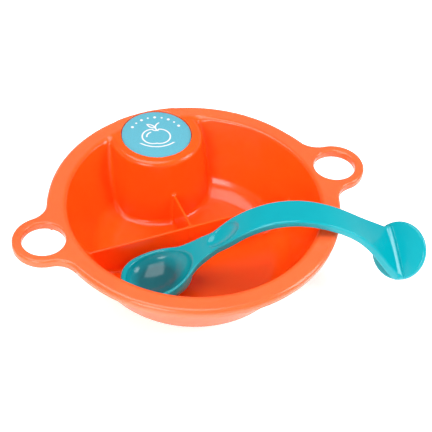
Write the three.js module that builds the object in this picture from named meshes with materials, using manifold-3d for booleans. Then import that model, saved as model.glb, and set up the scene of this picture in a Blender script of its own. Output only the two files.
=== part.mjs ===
// Suction bowl for a small child, with its spoon. Millimetres, +Z up, table top at z = 0,
// bowl axis on the Z axis, ring handles along X, release column at the back (+Y).
//
// One moulding makes the bowl, its dividers, the ring handles and the hollow column.
// Inside the column: a sprung button, a rod and a valve plug let air into the suction cup,
// which a screwed-in carrier plate holds at table level. The spoon lies loose in the bowl.
import * as THREE from 'three';
import { mergeVertices } from 'three/addons/utils/BufferGeometryUtils.js';
import Module from 'manifold-3d';

const wasm = await Module();
wasm.setup();

// ---- Driving dimensions ----------------------------------------------------
const gap = 0.3;               // clearance between pieces that touch or slide
const wall = 2.5;              // moulding thickness
const past = 2;                // how far a cutter runs past the face it cuts

// Bowl
const rimHeight = 47;          // rim top above the table
const rimOuterR = 82.5;
const rimInnerR = rimOuterR - 11.2;   // where the flat rim top turns into the inner wall
const rimFillet = 1.4;
const rimThick = 2.5;
const skirtDrop = 6;           // turned-down edge of the rim
const skirtThick = 1.7;
const skirtDraft = 0.9;
const baseR = rimOuterR - 24.3;       // outer wall where it starts to round under
const baseRound = 5.5;
const wallTopR = rimOuterR - 9.4;     // outer wall where it meets the underside of the rim
const floorTop = 4.5;          // inside floor above the table
const footOuterR = baseR - 4.8;
const footWidth = 3;
const floorBlend = 9;          // radius between the inside floor and the wall

// Ring handles
const ringX = rimOuterR + 5.1;        // centre of each finger hole
const ringHoleR = 11.9;
const ringOuterR = 17.2;
const ringFillet = 12;         // concave blend between ring and rim
const ringThick = 5.3;

// Dividers
const dividerY = 2.5;          // long divider, across the whole bowl
const dividerTop = 24;
const dividerTipThick = 1.7;
const dividerRootThick = 2.9;

// Release column
const buttonR = 20.5;
const buttonLip = 1.4;         // rim left between the button recess and the rim's edge
const columnTopR = buttonR + 6.5;
const columnFootR = columnTopR + 6;
const columnRound = 3;
const ceilingThick = 2.2;
const labelSink = 1;           // label below the column top
const labelThick = 0.4;
const labelR = buttonR;
const buttonThick = 1.4;
const buttonTravel = 2;
const bossR = 6;
const rodR = 2.2;
const collarR = 8.4;
const collarThick = 2;
const springCoilR = 4.3;
const springWireR = 0.6;
const springTurns = 7;

// Suction cup and its carrier
const cupR = columnFootR - 11;
const cupTop = 7.4;
const cupThick = 1.8;
const cupLip = 1.2;
const cupBackRoom = 5.2;       // from the back of the cup to the rim's edge
const neckR = 4.9;
const neckHeadR = 6.6;
const neckHeadThick = 2.6;
const valveBoreR = 2.9;
const plugR = 4.2;
const plugThick = 2.1;
const carrierThick = 2.6;
const towerWall = 2;
const towerHeadroom = 1.6;
const ventWidth = 4;
const screwR = 1.3;
const screwHeadR = 2.7;
const screwHeadThick = 1.8;
const screwBite = 8;
const postR = 3.4;
const screwAngles = [90, 215, 325];
const screwCircleSide = columnFootR - 11;  // screws beside the cup, from the column axis

// Spoon, drawn along its own X with the height above the table
const spoonRimR = 82.5;        // the bowl that the spoon is drawn for: it grows with the bowl
const spoonRimHeight = 47;
const spoonHeading = -19.5;    // degrees from +X, seen from above
const spoonX = -26.3;          // where the spoon's own origin lies
const spoonY = -12.7;
const spoonThick = 4.4;
const spoonHandleWidth = 17;
const stemWidth = 12.6;        // where the handle is narrowest, behind the bowl
const spoonArch = [            // middle of the strip: [along, height]
  [-32, 14.2], [-18, 14.2], [-6, 15], [6, 18], [18, 23.6], [27, 30.2], [36, 38.2], [45, 46.8],
  [55, 52.7], [64, 55.8], [72, 56.9], [81, 56.6], [89, 54.8], [98, 51.6], [107, 46.9], [116, 40.8],
  [126, 33.2], [137, 23],
];
const neckAt = 24;             // where the bowl's stem joins the handle
const bowlTurn = 18;           // the bowl's own axis, turned from the handle's
const bowlLength = 46;         // from the tip to the end of the stem
const bowlWidth = 36;
const bowlDepth = 10.5;
const bowlWall = 2;
const thumbAt = 37;            // shallow oval rest in the top of the handle
const thumbLength = 22;
const thumbWidth = 13;
const thumbDepth = 1.6;
const thumbLean = 42;          // slope of the handle under the rest
const tabR = 16.6;
const tabThick = 3;
const tabAt = 136.2;           // centre of the round end tab
const tabHeight = 27;
const tabLean = 54;            // tab's face, tipped from level
const tabTurn = 41;            // and turned from the handle's direction

// ---- Helpers ---------------------------------------------------------------
const rad = THREE.MathUtils.degToRad;

function solid(geometry) {
  const bare = geometry.clone();
  bare.deleteAttribute('normal');
  bare.deleteAttribute('uv');
  const welded = mergeVertices(bare, 1e-4);
  const corner = welded.index.array;
  const triangles = [];
  for (let t = 0; t < corner.length; t += 3) {
    const [a, b, c] = [corner[t], corner[t + 1], corner[t + 2]];
    if (a !== b && b !== c && c !== a) {
      triangles.push(a, b, c);
    }
  }
  return new wasm.Manifold(new wasm.Mesh({
    numProp: 3,
    vertProperties: Float32Array.from(welded.attributes.position.array),
    triVerts: Uint32Array.from(triangles),
  }));
}

function geometryOf(manifold) {
  const mesh = manifold.getMesh();
  const geometry = new THREE.BufferGeometry();
  geometry.setAttribute('position', new THREE.BufferAttribute(mesh.vertProperties, 3));
  geometry.setIndex(new THREE.BufferAttribute(mesh.triVerts, 1));
  geometry.computeVertexNormals();
  return geometry;
}

// Turned shape about Z from [radius, height] points that run anticlockwise round the section.
function turned(points, segments = 40) {
  const profile = points.map(([r, z]) => new THREE.Vector2(r, z));
  return solid(new THREE.LatheGeometry(profile, segments).rotateX(Math.PI / 2));
}

function rod(radius, z0, z1, segments = 24) {
  return turned([[0, z0], [radius, z0], [radius, z1], [0, z1]], segments);
}

// Points of an arc in the turned section, from one angle to another in degrees.
function arc(r, z, radius, from, to, steps = 3) {
  return Array.from({ length: steps + 1 }, (_, i) => {
    const angle = rad(from + (to - from) * i / steps);
    return [r + radius * Math.cos(angle), z + radius * Math.sin(angle)];
  });
}

function prism(shape, z0, z1, curveSegments = 12) {
  const settings = { depth: z1 - z0, bevelEnabled: false, curveSegments };
  return solid(new THREE.ExtrudeGeometry(shape, settings).translate(0, 0, z0));
}

function piece(name, manifold, color, roughness, metalness = 0) {
  const material = new THREE.MeshStandardMaterial({ color, roughness, metalness });
  const mesh = new THREE.Mesh(geometryOf(manifold), material);
  mesh.name = name;
  return mesh;
}

// ---- Colours ---------------------------------------------------------------
const orange = 0xff6a24;
const teal = 0x5fb0c8;
const turquoise = 0x00bccb;
const steel = 0xb9bcc0;
const white = 0xf1f1ee;
const clearGrey = 0xc9d4d6;

// ---- Values worked out from the driving dimensions -------------------------
const recessR = buttonR + gap;
const columnY = rimOuterR - buttonLip - recessR;
const buttonTop = rimHeight - labelSink - labelThick - gap;
const buttonBottom = buttonTop - buttonThick;
const recessFloor = buttonBottom - buttonTravel - gap;
const ceilingUnder = recessFloor - ceilingThick;
const collarTop = ceilingUnder - gap;
const collarBottom = collarTop - collarThick;
const carrierBottom = cupTop + gap;
const carrierTop = carrierBottom + carrierThick;
const headBottom = carrierTop + gap;
const headTop = headBottom + neckHeadThick;
const towerInnerR = neckHeadR + gap + 0.7;
const towerTop = headTop + towerHeadroom + towerWall;
const plugTop = cupTop - cupThick - gap;
const columnSlope = (columnFootR - columnTopR) / rimHeight;
const columnRAt = (z) => columnFootR - columnSlope * z;
const shaftR = screwR + gap;
const cupOffset = columnY + cupR + cupBackRoom - rimOuterR;  // cup in front of the column axis
const screwCircleBack = towerInnerR + towerWall + postR + 0.5;  // screw behind the rod
const screwPlaces = screwAngles.map((angle) => {
  const reach = angle === 90 ? screwCircleBack : screwCircleSide;
  return [reach * Math.cos(rad(angle)), columnY + reach * Math.sin(rad(angle))];
});

// ---- Bowl shell ------------------------------------------------------------
// Everything that stays inside the rim's outline at the back, drafted like the skirt.
function insideRim(inset) {
  const low = rimOuterR - skirtDraft - inset;
  return turned([[0, -past], [low, -past], [low, rimHeight - skirtDrop], [rimOuterR - inset,
    rimHeight - rimFillet], [rimOuterR - inset, rimHeight + past], [0, rimHeight + past]], 72);
}

function bowlOutside() {
  const skirtBottom = rimHeight - skirtDrop;
  const skirtR = rimOuterR - skirtDraft;
  const underside = floorTop - wall;
  return turned([
    [0, underside], [footOuterR - footWidth, underside], [footOuterR - footWidth, gap],
    [footOuterR, gap], [footOuterR, underside],
    ...arc(baseR - baseRound, underside + baseRound, baseRound, -90, -20, 4),
    [wallTopR, rimHeight - rimThick], [rimOuterR - skirtThick, rimHeight - rimThick],
    [skirtR - skirtThick, skirtBottom], [skirtR, skirtBottom],
    ...arc(rimOuterR - rimFillet, rimHeight - rimFillet, rimFillet, 0, 90),
    [0, rimHeight],
  ], 60);
}

function bowlInside() {
  const lean = (wallTopR - baseR) / (rimHeight - rimThick - floorTop - wall);
  const innerAt = (z) => baseR - wall - 0.2 + lean * (z - floorTop - wall);
  const blendTop = floorTop + floorBlend * 0.7;
  return turned([
    [0, floorTop], [innerAt(blendTop) - floorBlend, floorTop],
    [innerAt(blendTop) - floorBlend * 0.55, floorTop + floorBlend * 0.08],
    [innerAt(blendTop) - floorBlend * 0.2, floorTop + floorBlend * 0.32],
    [innerAt(blendTop), blendTop],
    [rimInnerR - rimFillet * 0.9, rimHeight - rimFillet * 1.5],
    [rimInnerR - rimFillet * 0.5, rimHeight - rimFillet * 0.5], [rimInnerR, rimHeight],
    [rimInnerR, rimHeight + past], [0, rimHeight + past],
  ], 60);
}

function column() {
  return turned([
    [0, gap], [columnRAt(gap), gap], [columnRAt(rimHeight - columnRound), rimHeight - columnRound],
    ...arc(columnTopR - columnRound, rimHeight - columnRound, columnRound, 15, 90),
    [0, rimHeight],
  ], 48).translate(0, columnY, 0);
}

function columnHollow() {
  return turned([
    [0, -past], [columnRAt(-past) - wall, -past],
    [columnRAt(ceilingUnder) - wall, ceilingUnder], [0, ceilingUnder],
  ], 48).translate(0, columnY, 0).intersect(insideRim(wall));
}

function divider(length) {
  const section = new THREE.Shape([
    new THREE.Vector2(-dividerRootThick / 2, 0), new THREE.Vector2(dividerRootThick / 2, 0),
    new THREE.Vector2(dividerTipThick / 2, dividerTop),
    new THREE.Vector2(-dividerTipThick / 2, dividerTop),
  ]);
  const geometry = new THREE.ExtrudeGeometry(section, { depth: length, bevelEnabled: false });
  return solid(geometry.rotateX(Math.PI / 2));
}

function dividers() {
  const across = divider(2 * rimInnerR).rotate([0, 0, 90]).translate(-rimInnerR, dividerY, 0);
  const toColumn = divider(columnY - dividerY).translate(0, columnY, 0);
  return across.add(toColumn);
}

// A ring handle on the +X side: a plate whose outline blends into the rim.
function ringHandle() {
  const reach = rimOuterR + ringFillet;
  const ringReach = ringOuterR + ringFillet;
  const blendX = (reach ** 2 - ringReach ** 2 + ringX ** 2) / (2 * ringX);
  const blendY = Math.sqrt(reach ** 2 - blendX ** 2);
  const rimAngle = Math.atan2(blendY, blendX);
  const ringAngle = Math.atan2(blendY, blendX - ringX);
  const rootX = rimInnerR - wall;
  const outline = new THREE.Shape();
  outline.moveTo(rootX, -rimOuterR * Math.sin(rimAngle));
  outline.absarc(blendX, -blendY, ringFillet, Math.PI - rimAngle, Math.PI - ringAngle, true);
  outline.absarc(ringX, 0, ringOuterR, -ringAngle, ringAngle, false);
  outline.absarc(blendX, blendY, ringFillet, Math.PI + ringAngle, Math.PI + rimAngle, true);
  outline.lineTo(rootX, rimOuterR * Math.sin(rimAngle));
  return prism(outline, rimHeight - ringThick, rimHeight);
}

function bowlShell() {
  const shaft = column();
  const food = bowlInside().subtract(shaft).subtract(dividers());
  const handle = ringHandle();
  let shell = bowlOutside().add(shaft.intersect(insideRim(0)));
  shell = shell.add(handle).add(handle.mirror([1, 0, 0])).subtract(food).subtract(columnHollow());
  const fingerHole = rod(ringHoleR, 0, rimHeight + past, 36).translate(ringX, 0, 0);
  shell = shell.subtract(fingerHole).subtract(fingerHole.mirror([1, 0, 0]));
  for (const [x, y] of screwPlaces) {
    const post = rod(postR, carrierTop + gap, ceilingUnder + gap).translate(x, y, 0);
    const pilot = rod(shaftR, 0, carrierTop + gap + screwBite + gap, 12).translate(x, y, 0);
    shell = shell.add(post.intersect(insideRim(gap))).subtract(pilot);
  }
  const recess = rod(recessR, recessFloor, rimHeight + past, 48).translate(0, columnY, 0);
  const guide = rod(bossR + gap, 0, rimHeight).translate(0, columnY, 0);
  return shell.subtract(recess).subtract(guide);
}

// ---- Non-slip pad -----------------------------------------------------------
// A soft disc set into the foot ring, bitten away round the column's outside.
function nonSlipPad() {
  const disc = rod(footOuterR - footWidth - gap, 0, floorTop - wall - gap, 60);
  return disc.subtract(rod(columnRAt(0) + gap, -past, floorTop, 48).translate(0, columnY, 0));
}

// ---- Button, label, rod, plug and spring (on the column axis) ---------------
function releaseButton() {
  const skirt = buttonThick / 2;
  const cap = turned([
    [0, buttonBottom], [buttonR - 0.4, buttonBottom], [buttonR, buttonBottom + 0.4],
    [buttonR, buttonTop - skirt], [buttonR - 0.3, buttonTop], [0, buttonTop],
  ], 48);
  const boss = rod(bossR, collarTop + gap, buttonBottom + gap);
  const socket = rod(rodR + gap, collarTop, buttonBottom - gap);
  return cap.add(boss).subtract(socket);
}

function pushRod() {
  return turned([
    [0, plugTop + gap], [rodR, plugTop + gap], [rodR, collarBottom], [collarR, collarBottom],
    [collarR, collarTop], [rodR, collarTop], [rodR, buttonBottom - 2 * gap],
    [0, buttonBottom - 2 * gap],
  ], 24);
}

function valvePlug() {
  return turned([
    [0, plugTop - plugThick], [plugR * 0.6, plugTop - plugThick], [plugR, plugTop - plugThick / 2],
    [plugR, plugTop], [0, plugTop],
  ], 24);
}

function returnSpring() {
  const bottom = towerTop + gap + springWireR;
  const top = collarBottom - gap - springWireR;
  const steps = springTurns * 12;
  const turns = Array.from({ length: steps + 1 }, (_, i) => {
    const angle = 2 * Math.PI * springTurns * i / steps;
    return new THREE.Vector3(springCoilR * Math.cos(angle), springCoilR * Math.sin(angle),
      bottom + (top - bottom) * i / steps);
  });
  const wire = new THREE.Shape();
  wire.absarc(0, 0, springWireR, 0, 2 * Math.PI, false);
  return solid(new THREE.ExtrudeGeometry(wire, {
    extrudePath: new THREE.CatmullRomCurve3(turns), steps, curveSegments: 5,
  }));
}

// ---- Cup carrier, screws and suction cup -------------------------------------
function cupCarrier() {
  const plateR = columnRAt(carrierTop) - wall - gap;
  let plate = rod(plateR, carrierBottom, carrierTop, 48);
  const tower = rod(towerInnerR + towerWall, carrierTop - gap, towerTop);
  plate = plate.add(tower).subtract(rod(towerInnerR, carrierTop, towerTop - towerWall));
  plate = plate.subtract(rod(neckR + gap, 0, carrierTop + past));
  plate = plate.subtract(rod(rodR + gap, 0, towerTop + past));
  const reach = towerInnerR + towerWall + past;
  const vent = solid(new THREE.BoxGeometry(2 * reach, ventWidth, neckHeadThick)
    .translate(0, 0, carrierTop + gap + neckHeadThick / 2 + 0.5));
  plate = plate.subtract(vent).translate(0, columnY, 0).intersect(insideRim(wall + gap));
  for (const [x, y] of screwPlaces) {
    plate = plate.subtract(rod(shaftR, 0, carrierTop + past, 12).translate(x, y, 0));
  }
  return plate;
}

function carrierScrew() {
  const headTopZ = carrierBottom - gap;
  return turned([
    [0, headTopZ - screwHeadThick], [screwHeadR - 0.5, headTopZ - screwHeadThick],
    [screwHeadR, headTopZ - screwHeadThick / 2], [screwHeadR, headTopZ], [screwR, headTopZ],
    [screwR, carrierTop + gap + screwBite], [0, carrierTop + gap + screwBite],
  ], 12);
}

function suctionCup() {
  const flatR = cupR * 0.52;
  const dish = turned([
    [cupR - cupLip, 0], [cupR, 0], [cupR - 1.6, cupLip * 1.6], [flatR + 1, cupTop], [0, cupTop],
    [0, cupTop - cupThick], [flatR, cupTop - cupThick], [cupR - cupLip - 1.7, cupLip],
    [cupR - cupLip, 0],
  ], 40).translate(0, -cupOffset, 0);
  const stem = turned([
    [0, cupTop - gap], [neckR, cupTop - gap], [neckR, headBottom], [neckHeadR, headBottom],
    [neckHeadR - 0.9, headTop], [0, headTop],
  ], 24);
  return dish.add(stem).subtract(rod(valveBoreR, 0, headTop + past));
}

// ---- Spoon -------------------------------------------------------------------
// The strip is a side view of the arch, cut to the plan outlines of the handle and the bowl.
const middle = new THREE.SplineCurve(spoonArch.map(([s, z]) => new THREE.Vector2(s, z)));

// Middle of the strip above a place along the handle.
function archAt(along) {
  const after = spoonArch.findIndex(([s]) => s > along);
  const [s0, z0] = spoonArch[after - 1];
  const [s1, z1] = spoonArch[after];
  return z0 + (z1 - z0) * (along - s0) / (s1 - s0);
}

function handlePlan() {
  const half = spoonHandleWidth / 2;
  const stem = stemWidth / 2;
  const end = tabAt + past;
  const plan = new THREE.Shape();
  plan.moveTo(neckAt - 6, 0);
  plan.bezierCurveTo(neckAt - 6, stem, neckAt + 4, stem, neckAt + 16, half);
  plan.lineTo(tabAt - tabR, half);
  plan.lineTo(end, half * 1.3);
  plan.lineTo(end, -half * 1.4);
  plan.lineTo(tabAt - tabR, -half);
  plan.lineTo(neckAt + 16, -half);
  plan.bezierCurveTo(neckAt + 4, -stem, neckAt - 6, -stem, neckAt - 6, 0);
  return prism(plan, 0, 2 * spoonRimHeight, 8);
}

// Egg with a stem; its blunt tip is at -length and its stem ends at 0, before it is turned.
function bowlPlan() {
  const wide = bowlWidth / 2;
  const tip = bowlLength;
  const stem = stemWidth / 2;
  const plan = new THREE.Shape();
  plan.moveTo(-tip, 0);
  plan.bezierCurveTo(-tip, -wide * 0.62, -tip * 0.82, -wide, -tip * 0.56, -wide);
  plan.bezierCurveTo(-tip * 0.24, -wide, -tip * 0.14, -stem, 0, -stem);
  plan.lineTo(0, stem);
  plan.bezierCurveTo(-tip * 0.14, stem, -tip * 0.24, wide, -tip * 0.56, wide);
  plan.bezierCurveTo(-tip * 0.82, wide, -tip, wide * 0.62, -tip, 0);
  return plan;
}

function placeBowl(manifold) {
  return manifold.rotate([0, 0, bowlTurn]).translate(neckAt, 0, 0);
}

function archBand(above, below) {
  const steps = 40;
  const top = [];
  const bottom = [];
  for (let i = 0; i <= steps; i += 1) {
    const at = middle.getPoint(i / steps);
    const along = middle.getTangent(i / steps);
    top.push(new THREE.Vector2(at.x - along.y * above, at.y + along.x * above));
    bottom.push(new THREE.Vector2(at.x + along.y * below, at.y - along.x * below));
  }
  const side = new THREE.Shape([...bottom, ...top.reverse()]);
  const width = 3 * bowlWidth;
  const geometry = new THREE.ExtrudeGeometry(side, { depth: width, bevelEnabled: false });
  return solid(geometry.rotateX(Math.PI / 2).translate(0, width / 2, 0));
}

function egg(length, width, depth) {
  const ball = new THREE.SphereGeometry(1, 28, 14).rotateX(Math.PI / 2);
  return solid(ball.scale(length / 2, width / 2, depth));
}

function spoon() {
  const centre = -bowlLength * 0.55;
  const lip = spoonArch[2][1] + spoonThick / 2;
  const outline = placeBowl(prism(bowlPlan(), 0, 2 * spoonRimHeight, 8));
  const belly = placeBowl(egg(bowlLength * 0.86, bowlWidth - 1, bowlDepth).translate(centre, 0, 0))
    .translate(0, 0, lip).intersect(archBand(0, 2 * bowlDepth));
  const hollow = placeBowl(egg(bowlLength * 0.86 - 2 * bowlWall - 1,
    bowlWidth - 2 * bowlWall - 1, bowlDepth - bowlWall).translate(centre, 0, 0))
    .translate(0, 0, lip + 0.6);
  const above = spoonThick / 2 + thumbDepth;
  const thumb = egg(thumbLength, thumbWidth, 2 * thumbDepth).rotate([0, -thumbLean, 0])
    .translate(thumbAt - above * Math.sin(rad(thumbLean)), 0,
      archAt(thumbAt) + above * Math.cos(rad(thumbLean)));
  const intoTab = (manifold) => manifold.rotate([0, -tabLean, tabTurn])
    .translate(tabAt, 0, tabHeight);
  const tab = intoTab(rod(tabR, -tabThick / 2, tabThick / 2, 36));
  const beyond = intoTab(rod(4 * tabR, -4 * tabR, 0, 12));
  const strip = archBand(spoonThick / 2, spoonThick / 2).intersect(handlePlan().add(outline));
  return strip.subtract(beyond).add(belly).subtract(hollow).subtract(thumb).add(tab);
}

// ---- Assembly ------------------------------------------------------------------
const suctionBowl = new THREE.Group();
suctionBowl.add(piece('bowl_shell', bowlShell(), orange, 0.25));
suctionBowl.add(piece('non_slip_pad', nonSlipPad(), clearGrey, 0.7));

const release = new THREE.Group();
release.position.y = columnY;
release.add(piece('release_button', releaseButton(), teal, 0.5));
release.add(piece('button_label', rod(labelR, buttonTop + gap, buttonTop + gap + labelThick, 48),
  teal, 0.6));
release.add(piece('push_rod', pushRod(), white, 0.4));
release.add(piece('valve_plug', valvePlug(), clearGrey, 0.6));
release.add(piece('return_spring', returnSpring(), steel, 0.3, 1));
release.add(piece('suction_cup', suctionCup(), clearGrey, 0.35));
suctionBowl.add(release);

suctionBowl.add(piece('cup_carrier', cupCarrier(), white, 0.4));
screwPlaces.forEach(([x, y], i) => {
  const screw = piece(`carrier_screw_${i + 1}`, carrierScrew(), steel, 0.3, 1);
  screw.position.set(x, y, 0);
  suctionBowl.add(screw);
});

const spoonMesh = piece('spoon', spoon(), turquoise, 0.25);
const spoonGrowth = rimOuterR / spoonRimR;
spoonMesh.position.set(spoonX * spoonGrowth, spoonY * spoonGrowth, 0);
spoonMesh.scale.set(spoonGrowth, spoonGrowth, rimHeight / spoonRimHeight);
spoonMesh.rotation.z = rad(spoonHeading);
suctionBowl.add(spoonMesh);

export default suctionBowl;
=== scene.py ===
# Suction bowl for a small child, with its spoon: the fine surfaces, finishes, light and camera.
import math
import bpy
import numpy as np
from mathutils import Matrix, Vector


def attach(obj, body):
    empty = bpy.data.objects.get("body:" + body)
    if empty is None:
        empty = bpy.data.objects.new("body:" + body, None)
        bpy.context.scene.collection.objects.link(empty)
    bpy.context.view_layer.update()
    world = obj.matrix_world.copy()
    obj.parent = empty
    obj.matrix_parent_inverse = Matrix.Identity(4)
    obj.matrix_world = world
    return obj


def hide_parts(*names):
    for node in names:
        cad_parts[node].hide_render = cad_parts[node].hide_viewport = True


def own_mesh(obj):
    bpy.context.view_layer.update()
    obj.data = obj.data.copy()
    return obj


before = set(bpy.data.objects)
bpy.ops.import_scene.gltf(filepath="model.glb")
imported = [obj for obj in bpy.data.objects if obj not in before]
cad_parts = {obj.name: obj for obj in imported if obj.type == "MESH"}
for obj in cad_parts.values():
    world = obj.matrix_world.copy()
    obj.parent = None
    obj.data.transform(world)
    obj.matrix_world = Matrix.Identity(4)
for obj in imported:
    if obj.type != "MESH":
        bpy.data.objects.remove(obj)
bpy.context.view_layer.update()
scene = bpy.context.scene
mm = 0.001


# rounded joins and cuts on distance fields, all in millimetres; negative is inside
def both(a, b, radius):  # where a and b overlap, its edge rounded
    return (np.minimum(np.maximum(a, b), -radius)
            + np.hypot(np.maximum(a + radius, 0), np.maximum(b + radius, 0)))


def either(a, b, radius):  # a joined to b, with a fillet
    return -both(-a, -b, radius)


def without(a, b, radius):  # a with b cut away, its edge rounded
    return both(a, -b, radius)


def ramp(value, low, high):  # 0 below low, 1 above high, smooth between
    t = np.clip((value - low) / (high - low), 0, 1)
    return t * t * (3 - 2 * t)


# from a field to a closed mesh
edgeEnds = [(0, 1), (2, 3), (4, 5), (6, 7), (0, 2), (1, 3), (4, 6), (5, 7),
            (0, 4), (1, 5), (2, 6), (3, 7)]


def slopeOf(field, points, reach=0.01):
    here = field(*points.T)
    slope = np.empty_like(points)
    for axis in range(3):
        moved = points.copy()
        moved[:, axis] += reach
        slope[:, axis] = (field(*moved.T) - here) / reach
    return here, slope


def ontoSurface(field, points, rounds, limit):
    for _ in range(rounds):
        here, slope = slopeOf(field, points)
        size = np.maximum((slope ** 2).sum(axis=1), 0.2)
        step = slope * (here / size)[:, None]
        length = np.linalg.norm(step, axis=1, keepdims=True)
        points = points - step * np.minimum(1, limit / np.maximum(length, 1e-9))
    return points


def netOf(field, low, high, step):
    axes = [np.arange(a - 2 * step, b + 2.5 * step, step, dtype=np.float32)
            for a, b in zip(low, high)]
    values = np.empty([len(a) for a in axes], dtype=np.float32)
    for k in range(0, len(axes[2]), 6):  # a few layers at a time
        values[:, :, k:k + 6] = field(axes[0][:, None, None], axes[1][None, :, None],
                                      axes[2][None, None, k:k + 6])
    inside = values < 0
    full = np.zeros([n - 1 for n in values.shape], dtype=np.uint8)
    for i in (0, 1):
        for j in (0, 1):
            for k in (0, 1):
                full += inside[i:i + full.shape[0], j:j + full.shape[1], k:k + full.shape[2]]
    cells = np.argwhere((full > 0) & (full < 8))
    number = np.full(full.shape, -1, dtype=np.int64)
    number[tuple(cells.T)] = np.arange(len(cells))
    offsets = np.array([(i, j, k) for i in (0, 1) for j in (0, 1) for k in (0, 1)])
    corners = np.stack([values[tuple((cells + o).T)] for o in offsets], axis=1)
    total = np.zeros((len(cells), 3))
    count = np.zeros(len(cells))
    for a, b in edgeEnds:
        va, vb = corners[:, a].astype(float), corners[:, b].astype(float)
        crossed = (va < 0) != (vb < 0)
        share = np.where(crossed, va / np.where(crossed, va - vb, 1), 0)[:, None]
        place = offsets[a] + (offsets[b] - offsets[a]) * share
        total += place * crossed[:, None]
        count += crossed
    points = (cells + total / count[:, None]) * step + np.array([a[0] for a in axes])
    quads = []
    for axis in range(3):
        u, v = (axis + 1) % 3, (axis + 2) % 3
        first = np.moveaxis(inside, axis, 0)[:-1]
        second = np.moveaxis(inside, axis, 0)[1:]
        where = np.argwhere(first != second)
        order = [axis] + [n for n in range(3) if n != axis]
        grid = np.empty_like(where)
        grid[:, order] = where
        outward = inside[tuple(grid.T)]
        ring = []
        for du, dv in ((-1, -1), (0, -1), (0, 0), (-1, 0)):
            cell = grid.copy()
            cell[:, u] += du
            cell[:, v] += dv
            ring.append(number[tuple(cell.T)])
        ring = np.stack(ring, axis=1)
        quads.append(np.where(outward[:, None], ring, ring[:, ::-1]))
    return points, np.concatenate(quads)


def evened(field, points, quads, rounds, limit):  # slides the points to even spacing
    for _ in range(rounds):
        total = np.zeros_like(points)
        count = np.zeros(len(points))
        for a in range(4):
            start, end = quads[:, a], quads[:, (a + 1) % 4]
            for axis in range(3):
                total[:, axis] += np.bincount(start, points[end, axis], len(points))
                total[:, axis] += np.bincount(end, points[start, axis], len(points))
            count += np.bincount(start, minlength=len(points))
            count += np.bincount(end, minlength=len(points))
        points = 0.5 * points + 0.5 * total / count[:, None]
        points = ontoSurface(field, points, 1, limit)
    return points


def applied(thing):
    shown = thing.evaluated_get(bpy.context.evaluated_depsgraph_get())
    mesh = bpy.data.meshes.new_from_object(shown)
    thing.modifiers.clear()
    old = thing.data
    thing.data = mesh
    bpy.data.meshes.remove(old)
    mesh.name = thing.name


def sculpted(name, field, low, high, step, faces, place=Matrix()):
    points, quads = netOf(field, low, high, step)
    points = ontoSurface(field, points, 2, step / 2)
    points = evened(field, points, quads, 2, step / 2)
    mesh = bpy.data.meshes.new(name)
    mesh.vertices.add(len(points))
    mesh.vertices.foreach_set("co", points.ravel())
    mesh.loops.add(quads.size)
    mesh.loops.foreach_set("vertex_index", quads.ravel())
    mesh.polygons.add(len(quads))
    mesh.polygons.foreach_set("loop_start", np.arange(0, quads.size, 4))
    mesh.update(calc_edges=True)
    thing = bpy.data.objects.new(name, mesh)
    scene.collection.objects.link(thing)
    if 2 * len(quads) > faces:
        fewer = thing.modifiers.new("fewer", "DECIMATE")
        fewer.ratio = faces / (2 * len(quads))
        applied(thing)
    mesh = thing.data
    places = np.empty(3 * len(mesh.vertices))
    mesh.vertices.foreach_get("co", places)
    places = ontoSurface(field, places.reshape(-1, 3), 2, step / 4)
    places = np.clip(places, low, high)
    slope = slopeOf(field, places)[1]
    normals = slope / np.maximum(np.linalg.norm(slope, axis=1, keepdims=True), 1e-9)
    turn = np.array(place.to_3x3())
    places = places @ turn.T + np.array(place.translation)
    normals = normals @ turn.T
    mesh.vertices.foreach_set("co", (places * mm).ravel())
    mesh.update()
    mesh.shade_smooth()
    mesh.normals_split_custom_set_from_vertices(normals)
    print(name, len(mesh.polygons), "faces")
    return thing


def turned(name, profile, centre, rounds=96):  # [radius, height] points from axis to axis
    cx, cy = centre
    points = [(cx, cy, profile[0][1])]
    for radius, height in profile[1:-1]:
        for i in range(rounds):
            angle = 2 * math.pi * i / rounds
            points.append((cx + radius * math.cos(angle), cy + radius * math.sin(angle), height))
    points.append((cx, cy, profile[-1][1]))
    last = len(points) - 1
    faces = []
    for i in range(rounds):
        j = (i + 1) % rounds
        faces.append((0, 1 + j, 1 + i))
        for row in range(len(profile) - 3):
            a, b = 1 + row * rounds, 1 + (row + 1) * rounds
            faces.append((a + i, a + j, b + j, b + i))
        top = 1 + (len(profile) - 3) * rounds
        faces.append((top + i, top + j, last))
    mesh = bpy.data.meshes.new(name)
    mesh.from_pydata([Vector(p) * mm for p in points], [], faces)
    mesh.shade_smooth()
    thing = bpy.data.objects.new(name, mesh)
    scene.collection.objects.link(thing)
    return thing


def rounded(corners, radius, steps=4):  # a section's points with its inner corners rounded
    out = [corners[0]]
    for before, here, after in zip(corners, corners[1:], corners[2:]):
        p, h, n = Vector(before), Vector(here), Vector(after)
        back, on = p - h, n - h
        reach = min(radius, back.length * 0.45, on.length * 0.45)
        start, end = h + back.normalized() * reach, h + on.normalized() * reach
        for i in range(steps + 1):
            t = i / steps
            out.append(tuple(start * (1 - t) ** 2 + h * 2 * t * (1 - t) + end * t ** 2))
    return out + [corners[-1]]


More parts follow.
